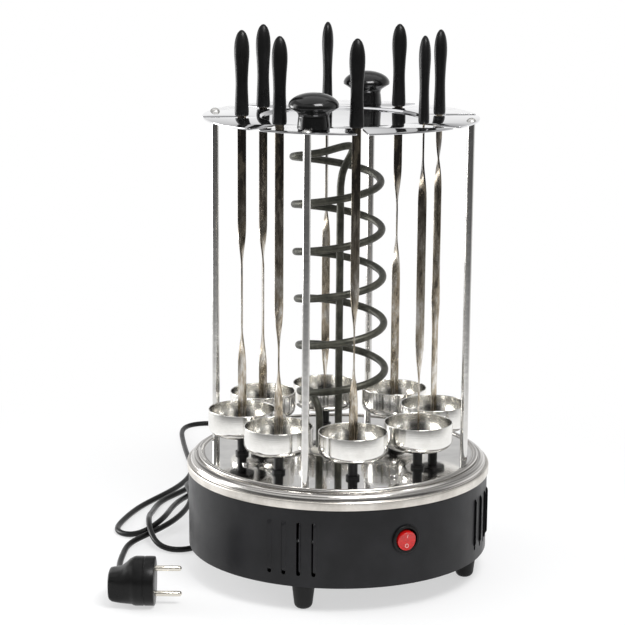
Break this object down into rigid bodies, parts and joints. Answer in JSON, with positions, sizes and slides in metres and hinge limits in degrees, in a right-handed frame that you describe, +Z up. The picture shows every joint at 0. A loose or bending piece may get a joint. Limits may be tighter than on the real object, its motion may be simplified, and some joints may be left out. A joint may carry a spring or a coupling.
{
  "type": "electric skewer grill",
  "caption": "Upright electric grill with geared turning cups and skewers around a coiled heater, under a slotted top plate on posts.",
  "frame": {"origin": "on the table under the middle of the round base, feet at z = 0", "axes": "+Z up; -Y is the front of the picture, with the switch to its right (+X)"},
  "size_m": [0.2886, 0.5041, 0.4016],
  "materials": {
    "black_paint": "satin",
    "plain_steel": "satin",
    "black_rubber": "matt",
    "polished_steel": "polished",
    "white_nylon": "matt",
    "black_nylon": "matt",
    "zinc_steel": "bright",
    "chromed_steel": "polished",
    "black_gloss_plastic": "gloss",
    "heater_sheath": "dull",
    "white_ceramic": "matt",
    "wire_cover": "matt",
    "black_plastic": "satin",
    "red_lens": "gloss",
    "cord_rubber": "satin",
    "cup_steel": "polished",
    "blade_steel": "bright"
  },
  "bodies": {
    "root": {"base_drum": "black_paint", "bottom_plate": "plain_steel", "feet": "black_rubber", "top_cover": "polished_steel", "gear_deck": "plain_steel", "pillars": "plain_steel", "hub_ring": "white_nylon", "spindle_bushes": "black_nylon", "motor": "plain_steel", "pan_screws": "zinc_steel", "posts": "chromed_steel", "dome_screws": "zinc_steel", "top_plate": "polished_steel", "knobs": "black_gloss_plastic", "heater_coil": "heater_sheath", "heater_bracket": "plain_steel", "heater_insulators": "white_ceramic", "terminal_block": "white_ceramic", "inner_wires": "wire_cover", "switch_body": "black_plastic", "strain_relief": "black_rubber", "lead": "cord_rubber", "plug_body": "black_plastic", "plug_pins": "zinc_steel"},
    "sun": {"sun_gear": "white_nylon"},
    "pinion": {"motor_pinion": "white_nylon"},
    "rocker": {"switch_rocker": "red_lens"},
    "spindle_1": {"spindle_1": "black_nylon", "cup_1": "cup_steel"},
    "skewer_1": {"skewer_1": "blade_steel", "handle_1": "black_plastic"},
    "spindle_2": {"spindle_2": "black_nylon", "cup_2": "cup_steel"},
    "skewer_2": {"skewer_2": "blade_steel", "handle_2": "black_plastic"},
    "spindle_3": {"spindle_3": "black_nylon", "cup_3": "cup_steel"},
    "skewer_3": {"skewer_3": "blade_steel", "handle_3": "black_plastic"},
    "spindle_4": {"spindle_4": "black_nylon", "cup_4": "cup_steel"},
    "skewer_4": {"skewer_4": "blade_steel", "handle_4": "black_plastic"},
    "spindle_5": {"spindle_5": "black_nylon", "cup_5": "cup_steel"},
    "skewer_5": {"skewer_5": "blade_steel", "handle_5": "black_plastic"},
    "spindle_6": {"spindle_6": "black_nylon", "cup_6": "cup_steel"},
    "skewer_6": {"skewer_6": "blade_steel", "handle_6": "black_plastic"},
    "spindle_7": {"spindle_7": "black_nylon", "cup_7": "cup_steel"},
    "skewer_7": {"skewer_7": "blade_steel", "handle_7": "black_plastic"},
    "spindle_8": {"spindle_8": "black_nylon", "cup_8": "cup_steel"},
    "skewer_8": {"skewer_8": "blade_steel", "handle_8": "black_plastic"}
  },
  "joints": [
    {"name": "sun_spin", "type": "hinge", "parent": "root", "child": "sun", "pos_m": [0, 0, 0.068], "axis": [0, 0, 1], "continuous": true},
    {"name": "spindle_1_spin", "type": "hinge", "parent": "root", "child": "spindle_1", "pos_m": [0.01064, -0.07121, 0.074], "axis": [0, 0, 1], "continuous": true},
    {"name": "skewer_1_lift", "type": "slide", "parent": "spindle_1", "child": "skewer_1", "axis": [0, 0, 1], "range_m": [0, 0.04]},
    {"name": "spindle_2_spin", "type": "hinge", "parent": "root", "child": "spindle_2", "pos_m": [0.05788, -0.04283, 0.074], "axis": [0, 0, 1], "continuous": true},
    {"name": "skewer_2_lift", "type": "slide", "parent": "spindle_2", "child": "skewer_2", "axis": [0, 0, 1], "range_m": [0, 0.04]},
    {"name": "spindle_3_spin", "type": "hinge", "parent": "root", "child": "spindle_3", "pos_m": [0.07121, 0.01064, 0.074], "axis": [0, 0, 1], "continuous": true},
    {"name": "skewer_3_lift", "type": "slide", "parent": "spindle_3", "child": "skewer_3", "axis": [0, 0, 1], "range_m": [0, 0.04]},
    {"name": "spindle_4_spin", "type": "hinge", "parent": "root", "child": "spindle_4", "pos_m": [0.04283, 0.05788, 0.074], "axis": [0, 0, 1], "continuous": true},
    {"name": "skewer_4_lift", "type": "slide", "parent": "spindle_4", "child": "skewer_4", "axis": [0, 0, 1], "range_m": [0, 0.04]},
    {"name": "spindle_5_spin", "type": "hinge", "parent": "root", "child": "spindle_5", "pos_m": [-0.01064, 0.07121, 0.074], "axis": [0, 0, 1], "continuous": true},
    {"name": "skewer_5_lift", "type": "slide", "parent": "spindle_5", "child": "skewer_5", "axis": [0, 0, 1], "range_m": [0, 0.04]},
    {"name": "spindle_6_spin", "type": "hinge", "parent": "root", "child": "spindle_6", "pos_m": [-0.05788, 0.04283, 0.074], "axis": [0, 0, 1], "continuous": true},
    {"name": "skewer_6_lift", "type": "slide", "parent": "spindle_6", "child": "skewer_6", "axis": [0, 0, 1], "range_m": [0, 0.04]},
    {"name": "spindle_7_spin", "type": "hinge", "parent": "root", "child": "spindle_7", "pos_m": [-0.07121, -0.01064, 0.074], "axis": [0, 0, 1], "continuous": true},
    {"name": "skewer_7_lift", "type": "slide", "parent": "spindle_7", "child": "skewer_7", "axis": [0, 0, 1], "range_m": [0, 0.04]},
    {"name": "spindle_8_spin", "type": "hinge", "parent": "root", "child": "spindle_8", "pos_m": [-0.04283, -0.05788, 0.074], "axis": [0, 0, 1], "continuous": true},
    {"name": "skewer_8_lift", "type": "slide", "parent": "spindle_8", "child": "skewer_8", "axis": [0, 0, 1], "range_m": [0, 0.04]},
    {"name": "pinion_spin", "type": "hinge", "parent": "root", "child": "pinion", "pos_m": [0.01633, 0.06549, 0.063], "axis": [0, 0, 1], "continuous": true},
    {"name": "rocker_tilt", "type": "hinge", "parent": "root", "child": "rocker", "pos_m": [0.04696, -0.09759, 0.0537], "axis": [-0.9011, -0.4337, 0], "range_deg": [0, 16]}
  ],
  "couplings": [
    {"joint": "spindle_1_spin", "follows": "sun_spin", "ratio": -3},
    {"joint": "spindle_2_spin", "follows": "sun_spin", "ratio": -3},
    {"joint": "spindle_3_spin", "follows": "sun_spin", "ratio": -3},
    {"joint": "spindle_4_spin", "follows": "sun_spin", "ratio": -3},
    {"joint": "spindle_5_spin", "follows": "sun_spin", "ratio": -3},
    {"joint": "spindle_6_spin", "follows": "sun_spin", "ratio": -3},
    {"joint": "spindle_7_spin", "follows": "sun_spin", "ratio": -3},
    {"joint": "spindle_8_spin", "follows": "sun_spin", "ratio": -3},
    {"joint": "pinion_spin", "follows": "sun_spin", "ratio": -4}
  ]
}
